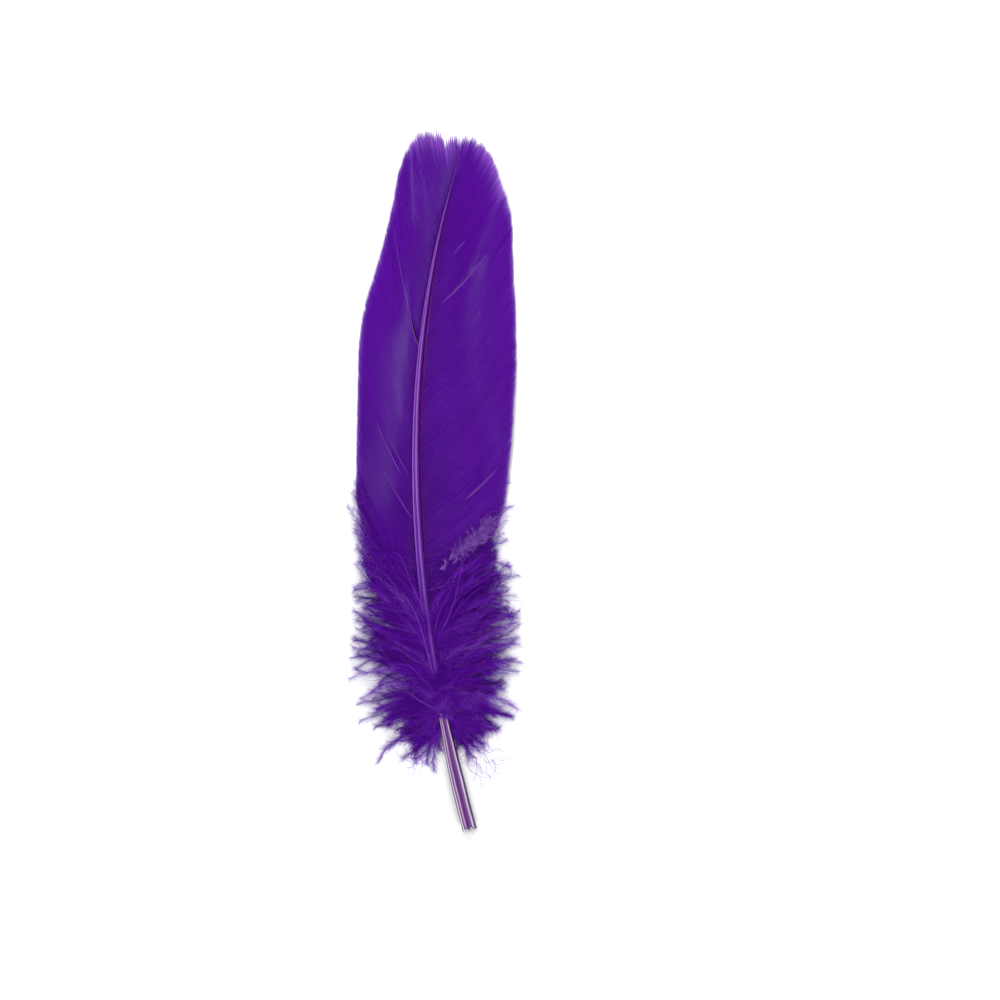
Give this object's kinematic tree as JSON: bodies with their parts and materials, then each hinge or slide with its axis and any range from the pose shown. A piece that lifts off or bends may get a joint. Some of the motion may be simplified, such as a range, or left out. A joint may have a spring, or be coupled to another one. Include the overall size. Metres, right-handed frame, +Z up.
{
  "type": "goose quill feather",
  "caption": "Dyed goose quill feather lying flat, outer face up: curved shaft, smooth split vanes, fluffy down at the foot and a bare hollow quill with a ragged cut end.",
  "frame": {"origin": "on the surface the feather lies on, under the centre of its box", "axes": "+Z up out of the surface, +Y from the quill's cut end to the tip, +X to the right with the outer face up"},
  "size_m": [0.0459, 0.1805, 0.008],
  "materials": {
    "vane": "satin barbs, dyed deep purple, paler at the tip",
    "shaft": "smooth glossy keratin, dyed purple, lighter than the vanes",
    "quill": "clear horn-like hollow tube, tinted mauve",
    "down": "loose matt fluff, dyed deep purple"
  },
  "bodies": {
    "root": {"feather": "vane"}
  },
  "joints": []
}
